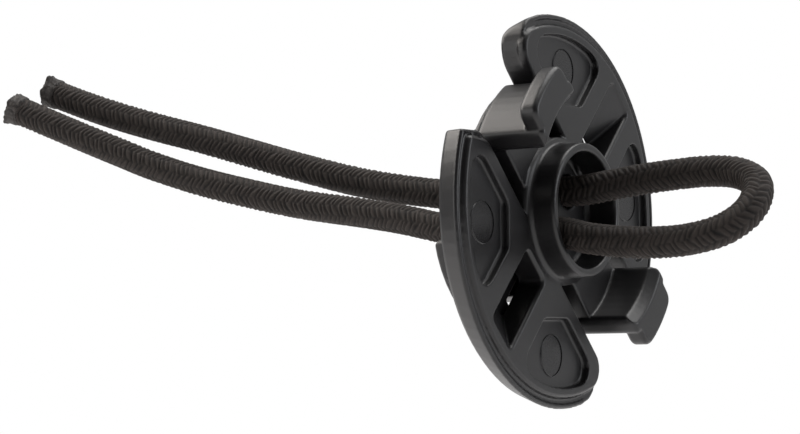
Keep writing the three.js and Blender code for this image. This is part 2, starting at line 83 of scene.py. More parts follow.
def turnIntoPlace(piece, matrix):  # with lockTurn, from the lock's millimetres to the part's metres
    piece.data.transform(matrix.to_4x4())
    piece.data.update()
    return piece


def triangleCount(piece):
    return sum(len(face.vertices) - 2 for face in piece.data.polygons)


# camera

cameraPlan = {
    "azimuth": 33.377,
    "elevation": -3.288,
    "roll": 0.741,
    "place": (0.164224, -0.289173, -0.019570),
    "lens": 111.757,
}


def addCamera(plan):
    azimuth, elevation, roll = (math.radians(plan[key]) for key in ("azimuth", "elevation", "roll"))
    level = math.cos(elevation)
    back = Vector((math.sin(azimuth) * level, -math.cos(azimuth) * level, math.sin(elevation)))
    across = Vector((math.cos(azimuth), math.sin(azimuth), 0))
    upright = back.cross(across)
    right = math.cos(roll) * across - math.sin(roll) * upright
    up = math.sin(roll) * across + math.cos(roll) * upright
    bpy.ops.object.camera_add()
    camera = bpy.context.object
    camera.matrix_world = Matrix.Translation(plan["place"]) @ Matrix((right, up, back)).transposed().to_4x4()
    camera.data.sensor_width = 36
    camera.data.lens = plan["lens"]
    camera.data.clip_start = 0.01
    bpy.context.scene.camera = camera


addCamera(cameraPlan)
bpy.context.scene.view_settings.view_transform = "Standard"
print("camera placed")


# shader helpers


def nodeTree(name):
    material = bpy.data.materials.new(name)
    material.use_nodes = True
    tree = material.node_tree
    shader = next(node for node in tree.nodes if node.type == "BSDF_PRINCIPLED")
    return material, tree, shader


def add(tree, kind, **values):
    node = tree.nodes.new(kind)
    for key, value in values.items():
        if key in node.inputs:
            node.inputs[key].default_value = value
        else:
            setattr(node, key, value)
    return node


def link(tree, fromSocket, toSocket):
    tree.links.new(fromSocket, toSocket)


def newGroup(name, inputs, outputs):
    group = bpy.data.node_groups.new(name, "ShaderNodeTree")
    for label, kind, value in inputs:
        socket = group.interface.new_socket(label, in_out="INPUT", socket_type=kind)
        if value is not None:
            socket.default_value = value
    for label, kind in outputs:
        group.interface.new_socket(label, in_out="OUTPUT", socket_type=kind)
    return group, group.nodes.new("NodeGroupInput"), group.nodes.new("NodeGroupOutput")


def mathNode(tree, operation, first, second=None, clamp=False):
    node = tree.nodes.new("ShaderNodeMath")
    node.operation = operation
    node.use_clamp = clamp
    for socket, value in zip(node.inputs, (first, second)):
        if value is None:
            continue
        if isinstance(value, (int, float)):
            socket.default_value = value
        else:
            tree.links.new(value, socket)
    return node.outputs[0]


def mixColour(tree, factor, first, second):
    node = tree.nodes.new("ShaderNodeMix")
    node.data_type = "RGBA"
    for socket, value in ((node.inputs[0], factor), (node.inputs[6], first), (node.inputs[7], second)):
        if isinstance(value, (int, float, tuple)):
            socket.default_value = value
        else:
            tree.links.new(value, socket)
    return node.outputs[2]


def mouldSkinGroup():  # fine pitting and slow flow marks of a moulded surface
    group, start, end = newGroup(
        "mouldSkin",
        [
            ("Position", "NodeSocketVector", None),
            ("Pit Scale", "NodeSocketFloat", 9000.0),
            ("Flow Scale", "NodeSocketFloat", 160.0),
            ("Pit Depth", "NodeSocketFloat", 0.35),
            ("Flow Depth", "NodeSocketFloat", 0.65),
        ],
        [("Height", "NodeSocketFloat"), ("Flow", "NodeSocketFloat"), ("Pits", "NodeSocketFloat")],
    )
    pits = add(group, "ShaderNodeTexNoise", Detail=3.0, Roughness=0.6)
    flow = add(group, "ShaderNodeTexNoise", Detail=2.0, Roughness=0.45, Distortion=0.8)
    link(group, start.outputs["Position"], pits.inputs["Vector"])
    link(group, start.outputs["Position"], flow.inputs["Vector"])
    link(group, start.outputs["Pit Scale"], pits.inputs["Scale"])
    link(group, start.outputs["Flow Scale"], flow.inputs["Scale"])
    pitPart = mathNode(group, "MULTIPLY", pits.outputs[0], start.outputs["Pit Depth"])
    flowPart = mathNode(group, "MULTIPLY", flow.outputs[0], start.outputs["Flow Depth"])
    link(group, mathNode(group, "ADD", pitPart, flowPart), end.inputs["Height"])
    link(group, flow.outputs[0], end.inputs["Flow"])
    link(group, pits.outputs[0], end.inputs["Pits"])
    return group


scuffPlan = {
    "stretch": (0.25, 1.0, 1.4),
    "scuffFrom": 0.56,
    "scuffContrast": 6.0,
    "dustSize": 0.09,
    "dustContrast": 14.0,
    "dustFineness": 2.3,  # specks to each scuff
}


def handlingGroup(plan):  # faint scuffs and dust that collect on a handled piece
    group, start, end = newGroup(
        "handlingMarks",
        [
            ("Position", "NodeSocketVector", None),
            ("Scuff Scale", "NodeSocketFloat", 700.0),
            ("Amount", "NodeSocketFloat", 0.5),
        ],
        [("Scuffs", "NodeSocketFloat"), ("Dust", "NodeSocketFloat")],
    )
    stretch = add(group, "ShaderNodeMapping", Scale=plan["stretch"])
    scuff = add(group, "ShaderNodeTexNoise", Detail=4.0, Roughness=0.7)
    dust = add(group, "ShaderNodeTexVoronoi")
    link(group, start.outputs["Position"], stretch.inputs["Vector"])
    link(group, stretch.outputs["Vector"], scuff.inputs["Vector"])
    link(group, start.outputs["Scuff Scale"], scuff.inputs["Scale"])
    link(group, start.outputs["Position"], dust.inputs["Vector"])
    dustScale = mathNode(group, "MULTIPLY", start.outputs["Scuff Scale"], plan["dustFineness"])
    link(group, dustScale, dust.inputs["Scale"])
    streak = mathNode(group, "SUBTRACT", scuff.outputs[0], plan["scuffFrom"])
    streaks = mathNode(group, "MULTIPLY", streak, plan["scuffContrast"], True)
    speck = mathNode(group, "SUBTRACT", plan["dustSize"], dust.outputs["Distance"])
    specks = mathNode(group, "MULTIPLY", speck, plan["dustContrast"], True)
    link(group, mathNode(group, "MULTIPLY", streaks, start.outputs["Amount"]), end.inputs["Scuffs"])
    link(group, mathNode(group, "MULTIPLY", specks, start.outputs["Amount"]), end.inputs["Dust"])
    return group


mouldSkin = mouldSkinGroup()
handlingMarks = handlingGroup(scuffPlan)


def plasticFinish(name, look):
    material, tree, shader = nodeTree(name)
    place = add(tree, "ShaderNodeTexCoord")
    skin = add(tree, "ShaderNodeGroup", node_tree=mouldSkin)
    skin.inputs["Pit Scale"].default_value = look["pitScale"]
    skin.inputs["Flow Scale"].default_value = look["flowScale"]
    skin.inputs["Pit Depth"].default_value = look["pitDepth"]
    skin.inputs["Flow Depth"].default_value = look["flowDepth"]
    marks = add(tree, "ShaderNodeGroup", node_tree=handlingMarks)
    marks.inputs["Scuff Scale"].default_value = look["scuffScale"]
    marks.inputs["Amount"].default_value = look["scuffs"]
    link(tree, place.outputs["Object"], skin.inputs["Position"])
    link(tree, place.outputs["Object"], marks.inputs["Position"])
    tone = mixColour(tree, skin.outputs["Flow"], look["dark"], look["light"])
    scuffed = mathNode(tree, "MULTIPLY", marks.outputs["Scuffs"], look["scuffShare"])
    dusty = mathNode(tree, "MULTIPLY", marks.outputs["Dust"], look["dustShare"])
    tone = mixColour(tree, scuffed, tone, look["scuffTone"])
    tone = mixColour(tree, dusty, tone, look["dustTone"])
    link(tree, tone, shader.inputs["Base Color"])
    gloss = mathNode(tree, "MULTIPLY", skin.outputs["Pits"], look["glossSpread"])
    gloss = mathNode(tree, "ADD", gloss, look["gloss"])
    dulled = mathNode(tree, "MULTIPLY", marks.outputs["Scuffs"], look["scuffDulls"])
    gloss = mathNode(tree, "ADD", gloss, dulled)
    link(tree, gloss, shader.inputs["Roughness"])
    bump = add(tree, "ShaderNodeBump", Strength=look["bump"], Distance=0.00004)
    link(tree, skin.outputs["Height"], bump.inputs["Height"])
    link(tree, bump.outputs["Normal"], shader.inputs["Normal"])
    shader.inputs["IOR"].default_value = 1.5
    shader.inputs["Specular IOR Level"].default_value = look["specular"]
    return material


mouldingLook = {
    "dark": (0.0058, 0.0056, 0.0062, 1),
    "light": (0.0105, 0.0101, 0.0112, 1),
    "scuffTone": (0.030, 0.029, 0.031, 1),
    "dustTone": (0.10, 0.096, 0.092, 1),
    "scuffShare": 0.35,
    "dustShare": 0.5,
    "scuffDulls": 0.12,
    "pitScale": 9000.0,
    "flowScale": 190.0,
    "pitDepth": 0.30,
    "flowDepth": 0.70,
    "scuffScale": 620.0,
    "scuffs": 0.35,
    "gloss": 0.27,
    "glossSpread": 0.16,
    "bump": 0.42,
    "specular": 0.55,
}
buttonLook = dict(mouldingLook, gloss=0.34, pitDepth=0.55, scuffs=0.6, flowScale=260.0)
polishedMark = dict(mouldingLook, gloss=0.2, pitDepth=0.12, scuffs=0.2)
blackMoulding = plasticFinish("blackMoulding", mouldingLook)
buttonPlastic = plasticFinish("buttonPlastic", buttonLook)
pinMarkPlastic = plasticFinish("pinMarkPlastic", polishedMark)


def braidFinish(name, look):
    material, tree, shader = nodeTree(name)
    ridge = add(tree, "ShaderNodeAttribute", attribute_name="yarnHeight")
    along = add(tree, "ShaderNodeUVMap", uv_map="braid")
    fibreMap = add(tree, "ShaderNodeMapping", Scale=look["fibreStretch"])
    link(tree, along.outputs["UV"], fibreMap.inputs["Vector"])
    fibre = add(tree, "ShaderNodeTexNoise", Scale=look["fibreScale"], Detail=3.0, Roughness=0.65)
    link(tree, fibreMap.outputs["Vector"], fibre.inputs["Vector"])
    patch = add(tree, "ShaderNodeTexNoise", Scale=look["patchScale"], Detail=2.0)
    link(tree, along.outputs["UV"], patch.inputs["Vector"])
    yarn = mixColour(tree, fibre.outputs[0], look["yarnDark"], look["yarnLight"])
    fading = mathNode(tree, "MULTIPLY", patch.outputs[0], look["fadedShare"])
    yarn = mixColour(tree, fading, yarn, look["faded"])
    # patch noise moves the mix toward the painted groove shade in some patches and away from it in others
    patchShadeShift = mathNode(tree, "SUBTRACT", patch.outputs[0], look["patchShadeFrom"])
    patchShadeShift = mathNode(tree, "MULTIPLY", patchShadeShift, look["patchShadeGain"])
    # the near-black groove colour is painted shade in the crevices between yarns, laid where the yarn height
    # is low
    depth = mathNode(tree, "ADD", mathNode(tree, "POWER", ridge.outputs["Fac"], look["crown"]), patchShadeShift, True)
    link(tree, mixColour(tree, depth, look["groove"], yarn), shader.inputs["Base Color"])
    rough = mathNode(tree, "MULTIPLY", fibre.outputs[0], 0.18)
    link(tree, mathNode(tree, "ADD", rough, look["roughness"]), shader.inputs["Roughness"])
    bump = add(tree, "ShaderNodeBump", Strength=0.55, Distance=0.00005)
    link(tree, fibre.outputs[0], bump.inputs["Height"])
    link(tree, bump.outputs["Normal"], shader.inputs["Normal"])
    shader.inputs["Sheen Weight"].default_value = look["sheen"]
    shader.inputs["Sheen Roughness"].default_value = look["sheenRoughness"]
    shader.inputs["Sheen Tint"].default_value = look["sheenTint"]
    shader.inputs["Specular IOR Level"].default_value = 0.3
    return material


braidLook = {
    "yarnDark": (0.0130, 0.0102, 0.0088, 1),
    "yarnLight": (0.050, 0.040, 0.035, 1),
    "faded": (0.035, 0.029, 0.026, 1),
    # near-black painted shade for the crevices between yarns
    "groove": (0.0022, 0.0018, 0.0017, 1),
    "fibreStretch": (5.0, 2.2, 1.0),
    "fibreScale": 7.0,
    "patchScale": 0.7,
    "fadedShare": 0.45,
    # patches that make the painted groove shade darker or lighter
    "patchShadeFrom": 0.40,
    "patchShadeGain": 1.6,
    "crown": 0.8,
    "roughness": 0.66,
    "sheen": 0.10,
    "sheenRoughness": 0.45,
    "sheenTint": (0.75, 0.66, 0.60, 1),
}
cordBraid = braidFinish("cordBraid", braidLook)


def meltedFinish(name, look):
    material, tree, shader = nodeTree(name)
    place = add(tree, "ShaderNodeTexCoord")
    lumps = add(tree, "ShaderNodeTexNoise", Scale=look["lumpScale"], Detail=5.0, Roughness=0.7)
    crumbs = add(tree, "ShaderNodeTexVoronoi", Scale=look["crumbScale"])
    link(tree, place.outputs["Object"], lumps.inputs["Vector"])
    link(tree, place.outputs["Object"], crumbs.inputs["Vector"])
    tone = mixColour(tree, lumps.outputs[0], look["char"], look["grey"])
    speck = mathNode(tree, "MULTIPLY", mathNode(tree, "SUBTRACT", 0.5, crumbs.outputs["Distance"]), 1.1, True)
    link(tree, mixColour(tree, speck, tone, look["pale"]), shader.inputs["Base Color"])
    rough = mathNode(tree, "MULTIPLY", lumps.outputs[0], 0.4)
    link(tree, mathNode(tree, "ADD", rough, 0.4), shader.inputs["Roughness"])
    bump = add(tree, "ShaderNodeBump", Strength=0.7, Distance=0.00012)
    link(tree, mathNode(tree, "ADD", lumps.outputs[0], crumbs.outputs["Distance"]), bump.inputs["Height"])
    link(tree, bump.outputs["Normal"], shader.inputs["Normal"])
    return material


meltedLook = {
    "char": (0.0050, 0.0044, 0.0042, 1),
    "grey": (0.046, 0.038, 0.034, 1),
    "pale": (0.105, 0.090, 0.082, 1),
    "lumpScale": 1100.0,
    "crumbScale": 1500.0,
}
meltedTip = meltedFinish("meltedTip", meltedLook)


def latexFinish(name, look):
    material, tree, shader = nodeTree(name)
    place = add(tree, "ShaderNodeTexCoord")
    strand = add(tree, "ShaderNodeTexNoise", Scale=2400.0, Detail=2.0)
    link(tree, place.outputs["Object"], strand.inputs["Vector"])
    link(tree, mixColour(tree, strand.outputs[0], look["dark"], look["light"]), shader.inputs["Base Color"])
    rough = mathNode(tree, "MULTIPLY", strand.outputs[0], 0.25)
    link(tree, mathNode(tree, "ADD", rough, look["roughness"]), shader.inputs["Roughness"])
    bump = add(tree, "ShaderNodeBump", Strength=0.4, Distance=0.00006)
    link(tree, strand.outputs[0], bump.inputs["Height"])
    link(tree, bump.outputs["Normal"], shader.inputs["Normal"])
    return material


latexLook = {"dark": (0.48, 0.40, 0.27, 1), "light": (0.68, 0.60, 0.44, 1), "roughness": 0.45}
latex = latexFinish("latexCore", latexLook)


def springFinish(name, look):
    material, tree, shader = nodeTree(name)
    place = add(tree, "ShaderNodeTexCoord")
    draw = add(tree, "ShaderNodeTexNoise", Scale=5200.0, Detail=3.0)
    stain = add(tree, "ShaderNodeTexNoise", Scale=900.0, Detail=2.0)
    link(tree, place.outputs["Object"], draw.inputs["Vector"])
    link(tree, place.outputs["Object"], stain.inputs["Vector"])
    link(tree, mixColour(tree, stain.outputs[0], look["dark"], look["light"]), shader.inputs["Base Color"])
    rough = mathNode(tree, "MULTIPLY", draw.outputs[0], 0.25)
    link(tree, mathNode(tree, "ADD", rough, look["roughness"]), shader.inputs["Roughness"])
    bump = add(tree, "ShaderNodeBump", Strength=0.2, Distance=0.00002)
    link(tree, draw.outputs[0], bump.inputs["Height"])
    link(tree, bump.outputs["Normal"], shader.inputs["Normal"])
    shader.inputs["Metallic"].default_value = 1.0
    return material


springLook = {"dark": (0.42, 0.41, 0.39, 1), "light": (0.66, 0.66, 0.67, 1), "roughness": 0.16}
springSteel = springFinish("springSteel", springLook)
print("finishes made")


def dress(piece, material, smooth=True):
    piece.data.materials.clear()
    piece.data.materials.append(material)
    if smooth:
        pick(piece)
        bpy.ops.object.shade_smooth()
    return piece


# cords

cordPlan = {
    "radius": 2.04,  # to the middle of the yarn, in millimetres
    "yarnDepth": 0.15,
    "pitch": 0.80,  # from one yarn to the next along the cord
    "columns": 8,  # rows of slanted yarn round the cord
    "slant": 1.0,  # pitches that a yarn climbs across its row
    "around": 64,
    "ringsPerPitch": 10,
    "drift": 0.006,  # turns that the rows make for each millimetre
    "wander": ((0.14, 1.7, 2.3), (0.10, 4.1, 1.0)),  # size, rate along the cord and step from row to row
    "crown": 0.8,
    "seam": 0.10,  # width of the dip between two rows, as a share of a row
    "seamDepth": 0.55,
    "middle": 0.55,  # the yarn height that lies on the radius
}
loopRoute = [
    (-2.0, 2.83, 2.83), (1.5, 2.87, 2.87), (5.5, 3.4, 3.4), (9.8, 3.98, 3.98), (14.8, 4.42, 4.42),
    (19.4, 4.6, 4.6), (23.6, 4.15, 4.15), (26.8, 2.7, 2.7), (28.0, 0.5, 0.5), (27.4, -1.8, -1.8),
    (24.9, -3.7, -3.7), (20.6, -4.75, -4.75), (15.6, -4.95, -4.95), (10.6, -4.62, -4.62),
    (6.0, -4.0, -4.0), (1.5, -3.0, -3.0), (-2.0, -2.83, -2.83),
]
upperTailRoute = [
    (-2.4, 2.83, 2.83), (-8.0, 2.83, 2.83), (-13.6, 2.81, 2.85), (-21.0, 2.3, 3.4), (-32.7, 1.2, 5.4),
    (-43.2, -0.4, 8.2), (-51.1, -1.8, 10.6), (-58.8, -3.4, 13.0), (-65.0, -4.8, 14.8),
    (-71.1, -6.2, 16.7), (-76.5, -7.4, 18.6), (-81.6, -8.6, 20.6),
]
lowerTailRoute = [
    (-2.4, -2.83, -2.83), (-8.0, -2.83, -2.83), (-13.4, -2.8, -2.6), (-18.5, -2.7, -1.5), (-24.1, -2.8, -0.2),
    (-30.2, -3.0, 0.9), (-40.6, -4.1, 2.6), (-48.5, -5.4, 4.4), (-56.3, -6.9, 6.5), (-63.6, -8.4, 9.0),
    (-68.4, -9.5, 11.0), (-73.4, -10.6, 13.1), (-79.0, -11.9, 15.5), (-84.5, -13.2, 17.9),
]


def smoothLine(route, perSpan=24):  # a curve through the route's points, in millimetres
    points = np.array(route, float)
    padded = np.vstack([2 * points[0] - points[1], points, 2 * points[-1] - points[-2]])
    line = []
    for index in range(len(points) - 1):
        a, b, c, d = padded[index:index + 4]
        for t in np.arange(perSpan) / perSpan:
            bend = (2 * a - 5 * b + 4 * c - d) * t**2 + (3 * b - a - 3 * c + d) * t**3
            line.append(0.5 * (2 * b + (c - a) * t + bend))
    line.append(points[-1])
    return np.array(line)


def evenLine(line, spacing):
    lengths = np.concatenate([[0], np.cumsum(np.linalg.norm(np.diff(line, axis=0), axis=1))])
    count = int(round(lengths[-1] / spacing)) + 1
    wanted = np.linspace(0, lengths[-1], count)
    return np.stack([np.interp(wanted, lengths, line[:, axis]) for axis in range(3)], 1), wanted


def lineFrames(line):  # a side and an up direction at each point, without twist
    tangents = np.gradient(line, axis=0)
    tangents /= np.linalg.norm(tangents, axis=1)[:, None]
    side = np.cross(tangents[0], (0, 0, 1.0))
    side /= np.linalg.norm(side)
    sides = []
    for tangent in tangents:
        side = side - tangent * side.dot(tangent)
        side /= np.linalg.norm(side)
        sides.append(side)
    sides = np.array(sides)
    return tangents, sides, np.cross(tangents, sides)


def yarnHeight(turn, along, plan):  # 0 in a groove, 1 on top of a yarn
    row = (turn + plan["drift"] * along) * plan["columns"]
    across = row - np.floor(row)
    leaning = np.where(np.floor(row) % 2 == 0, across, 1 - across)
    wander = sum(size * np.sin(rate * along + step * np.floor(row)) for size, rate, step in plan["wander"])
    phase = along / plan["pitch"] + plan["slant"] * leaning + 0.5 * (np.floor(row) % 2) + wander
    ridge = 0.5 + 0.5 * np.cos(2 * np.pi * phase)
    edge = np.exp(-((np.minimum(across, 1 - across) / plan["seam"]) ** 2))
    return np.clip(ridge ** plan["crown"] * (1 - plan["seamDepth"] * edge), 0, 1)


def braidedCord(name, route, plan):
    line, along = evenLine(smoothLine(route), plan["pitch"] / plan["ringsPerPitch"])
    tangents, sides, ups = lineFrames(line)
    turns = np.arange(plan["around"]) / plan["around"]
    angle = 2 * np.pi * turns
    height = yarnHeight(turns[None, :], along[:, None], plan)
    radius = plan["radius"] + plan["yarnDepth"] * (height - plan["middle"])
    outward = np.cos(angle)[None, :, None] * sides[:, None] + np.sin(angle)[None, :, None] * ups[:, None]
    points = (line[:, None] + radius[..., None] * outward).reshape(-1, 3) * millimetre
    rings, around = len(line), plan["around"]
    first = (np.arange(rings - 1)[:, None] * around + np.arange(around)[None, :])
    after = (np.arange(rings - 1)[:, None] * around + (np.arange(around) + 1)[None, :] % around)
    faces = np.stack([first, after, after + around, first + around], -1).reshape(-1, 4)
    middle = len(points)
    points = np.vstack([points, line[0] * millimetre, line[-1] * millimetre])
    last = (rings - 1) * around
    caps = [(middle, (k + 1) % around, k) for k in range(around)]
    caps += [(middle + 1, last + k, last + (k + 1) % around) for k in range(around)]
    mesh = bpy.data.meshes.new(name)
    mesh.from_pydata(points.tolist(), [], faces.tolist() + caps)
    uvLayer = mesh.uv_layers.new(name="braid")
    u = np.stack([turns, turns + 1 / around, turns + 1 / around, turns], -1)[None].repeat(rings - 1, 0)
    v = np.stack([along[:-1], along[:-1], along[1:], along[1:]], -1)[:, None].repeat(around, 1)
    uv = np.stack([u * plan["columns"], v], -1).reshape(-1, 2)
    capUv = np.zeros((len(caps) * 3, 2))
    uvLayer.data.foreach_set("uv", np.vstack([uv, capUv]).astype(np.float32).ravel())
    attribute = mesh.attributes.new("yarnHeight", "FLOAT", "POINT")
    attribute.data.foreach_set("value", np.append(height.ravel(), (0.3, 0.3)).astype(np.float32))
    cord = bpy.data.objects.new(name, mesh)
    bpy.context.scene.collection.objects.link(cord)
    pick(cord)
    bpy.ops.object.mode_set(mode="EDIT")
    bpy.ops.mesh.select_all(action="SELECT")
    bpy.ops.mesh.normals_make_consistent(inside=False)
    bpy.ops.object.mode_set(mode="OBJECT")
    dress(cord, cordBraid)
    length = float(np.linalg.norm(np.diff(line, axis=0), axis=1).sum())
    print(name, "length", round(length, 1), "mm, triangles", triangleCount(cord))
    return cord, line, tangents, length


meltPlan = {
    "radius": 2.22,
    "length": 2.5,
    "setBack": 0.5,  # how far it reaches back over the sheath
    "flatness": 0.45,
    "shoulder": 3.2,
    "lumps": 0.32,
    "lumpScale": 2.1,
    "fineScale": 6.5,
    "flare": 0.26,
    "flareAt": (0.45, 0.35),  # middle and spread, from -1 at the sheath to 1 at the tip
    "flareScale": 1.3,
    "flareOffset": 0.25,
    "dish": (0.35, 0.55),  # depth and spread of the hollow in the tip
}


def meltedEnd(name, tip, direction, seed, plan):  # the cut end, melted to a rough mushroom
    bpy.ops.object.select_all(action="DESELECT")
    bpy.ops.mesh.primitive_ico_sphere_add(subdivisions=5, radius=1.0)
    end = bpy.context.object
    end.name = name
    basis = Vector(direction).to_track_quat("Z", "Y").to_matrix()
    flareMiddle, flareSpread = plan["flareAt"]
    dishDepth, dishSpread = plan["dish"]
    for vertex in end.data.vertices:
        x, y, z = vertex.co
        flatness = math.copysign(abs(z) ** plan["flatness"], z)
        outline = max(0.0, 1 - abs(z) ** plan["shoulder"]) ** 0.5
        spread = outline / max(1e-6, math.hypot(x, y)) if abs(z) < 0.999 else 1
        lump = noise.noise(Vector((x, y, z)) * plan["lumpScale"] + Vector((seed, 0, 0)))
        fine = noise.noise(Vector((x, y, z)) * plan["fineScale"] + Vector((0, seed, 0)))
        grow = 1 + plan["lumps"] * (0.6 * lump + 0.35 * fine) * (0.35 + 0.65 * max(0.0, z))
        nearRim = math.exp(-(((z - flareMiddle) / flareSpread) ** 2))
        side = noise.noise(Vector((x * plan["flareScale"], y * plan["flareScale"], seed)))
        oneSided = max(0.0, side + plan["flareOffset"])
        rim = 1 + plan["flare"] * nearRim * oneSided
        radius = plan["radius"] * grow * rim
        depth = flatness * plan["length"] / 2 * (1 + 0.5 * plan["lumps"] * fine)
        local = Vector((x * spread * radius, y * spread * radius, depth))
        dish = dishDepth * math.exp(-((math.hypot(x, y) / dishSpread) ** 2)) if z > 0 else 0.0
        local.z += plan["length"] / 2 - plan["setBack"] - dish
        vertex.co = (basis @ local + Vector(tip)) * millimetre
    end.data.update()
    dress(end, meltedTip)
    print(name, "triangles", triangleCount(end))
    return end


loopCord, loopLine, _, loopLength = braidedCord("cordLoop", loopRoute, cordPlan)
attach(loopCord, "hub")
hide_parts("cord_loop")
for side, route, seed in (("Upper", upperTailRoute, 3.7), ("Lower", lowerTailRoute, 11.2)):
    tail, tailLine, tailTangents, tailLength = braidedCord("cordTail" + side, route, cordPlan)
    node = "cord_tail_" + side.lower()
    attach(tail, "hub")
    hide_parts(node)
    tip = meltedEnd("meltedEnd" + side, tailLine[-1], tailTangents[-1], seed, meltPlan)
    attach(tip, "hub")
    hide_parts(node + "_end")
for node in ("cord_loop_core", "cord_tail_upper_core", "cord_tail_lower_core"):
    dress(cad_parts[node], latex, smooth=False)
print("cords made")


# moulded pieces


def mergedCopy(node, name):
    piece = bpy.data.objects.new(name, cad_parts[node].data.copy())
    bpy.context.scene.collection.objects.link(piece)
    pick(piece)
    bpy.ops.object.mode_set(mode="EDIT")
    bpy.ops.mesh.select_all(action="SELECT")
    bpy.ops.mesh.remove_doubles(threshold=0.000002)
    bpy.ops.object.mode_set(mode="OBJECT")
    return piece


def blockAt(low, high):  # a block between two corners in the lock's frame
    bpy.ops.object.select_all(action="DESELECT")
    bpy.ops.mesh.primitive_cube_add(size=1)
    block = bpy.context.object
    low, high = Vector(low), Vector(high)
    block.scale = high - low
    block.location = (low + high) / 2
    settle(block)
    return turnIntoPlace(block, lockTurn * millimetre)


def cutAway(piece, cutter):
    useModifier(piece, "BOOLEAN", operation="DIFFERENCE", solver="EXACT", object=cutter)
    bpy.data.objects.remove(cutter)


def addStock(piece, stock):  # joins loose stock; the remesh that follows makes it one skin
    bpy.ops.object.select_all(action="DESELECT")
    stock.select_set(True)
    piece.select_set(True)
    bpy.context.view_layer.objects.active = piece
    bpy.ops.object.join()


def softenNear(piece, places, reach, gain, iterations):  # rounds a corner over further than the rest
    group = piece.vertex_groups.new(name="softened")
    coords = np.empty(len(piece.data.vertices) * 3, np.float32)
    piece.data.vertices.foreach_get("co", coords)
    nearest = np.min([np.linalg.norm(coords.reshape(-1, 3) - place, axis=1) for place in places], axis=0)
    weight = np.clip(gain * (1 - nearest / (reach * millimetre)), 0, 1)
    for index in np.flatnonzero(weight > 0).tolist():
        group.add([index], float(weight[index]), "REPLACE")
    useModifier(piece, "SMOOTH", factor=0.5, iterations=iterations, vertex_group=group.name)
    piece.vertex_groups.clear()


def mouldSkinOver(piece, plan):  # one soft-edged skin, as the mould leaves it
    useModifier(piece, "REMESH", mode="VOXEL", voxel_size=plan["voxel"] * millimetre, adaptivity=0.0)
    useModifier(piece, "SMOOTH", factor=0.5, iterations=plan["relax"])
    if "corners" in plan:
        softenNear(piece, plan["corners"], plan["cornerReach"], plan["cornerGain"], plan["cornerRelax"])
    count = triangleCount(piece)
    if count > plan["triangles"]:
        useModifier(piece, "DECIMATE", ratio=plan["triangles"] / count)
    print(piece.name, "triangles", count, "to", triangleCount(piece))


hubPlan = {
    "voxel": 0.17,
    "relax": 6,
    "triangles": 190000,
    "webCut": 10.0,
    "webEnd": 12.6,
    "webSide": 5.6,
    "webLow": -3.2,
    "webHigh": 0.3,
    "corners": [  # down the edge where each lobe's round end runs out into the rim
        lockPoint(end * (13.0 - 0.6 * step), end * 23.1, -0.5 - step) for end in (1, -1) for step in range(4)
    ],
    "cornerReach": 2.0,
    "cornerGain": 1.6,
    "cornerRelax": 60,
}
hub = mergedCopy("hub_plate", "hubMoulding")
for end in (1, -1):
    corners = [
        (-hubPlan["webSide"], end * hubPlan["webCut"], hubPlan["webLow"]),
        (hubPlan["webSide"], end * hubPlan["webEnd"], hubPlan["webHigh"]),
    ]
    low = [min(pair) for pair in zip(*corners)]
    high = [max(pair) for pair in zip(*corners)]
    cutAway(hub, blockAt(low, high))
mouldSkinOver(hub, hubPlan)
dress(hub, blackMoulding)
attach(hub, "hub")
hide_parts("hub_plate")
print("hub made")

hookPlan = {
    "voxel": 0.14,
    "relax": 16,
    "triangles": 60000,
    "webHalf": 4.9,
    "webBack": -2.6,
    "webFront": -0.3,
    "webStart": 9.1,  # inside the collar's wall, where the hub hides it
    "webEnd": 13.4,
    "bendStart": 11.2,  # between these two the web bends
    "bendEnd": 13.6,
    "bendHeight": -1.45,
}
for side, end in (("upper", 1), ("lower", -1)):
    hook = mergedCopy("snap_hook_" + side, "snapHook" + side.capitalize())
    corners = [
        (-hookPlan["webHalf"], end * hookPlan["webStart"], hookPlan["webBack"]),
        (hookPlan["webHalf"], end * hookPlan["webEnd"], hookPlan["webFront"]),
    ]
    low = [min(pair) for pair in zip(*corners)]
    high = [max(pair) for pair in zip(*corners)]
    addStock(hook, blockAt(low, high))
    mouldSkinOver(hook, hookPlan)
    dress(hook, blackMoulding)
    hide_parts("snap_hook_" + side)
    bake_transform(hook)
print("hooks made")

housingPlan = {"voxel": 0.16, "relax": 4, "triangles": 90000}
housing = mergedCopy("back_housing", "backHousing")
mouldSkinOver(housing, housingPlan)
dress(housing, blackMoulding)
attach(housing, "hub")
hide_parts("back_housing")

buttonPlan = {"voxel": 0.13, "relax": 3, "triangles": 60000}
for side in ("lower", "upper"):
    button = mergedCopy("release_button_" + side, "releaseButton" + side.capitalize())
    mouldSkinOver(button, buttonPlan)
    dress(button, buttonPlastic)
    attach(button, "button_" + side)
    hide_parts("release_button_" + side)
print("housing and buttons made")

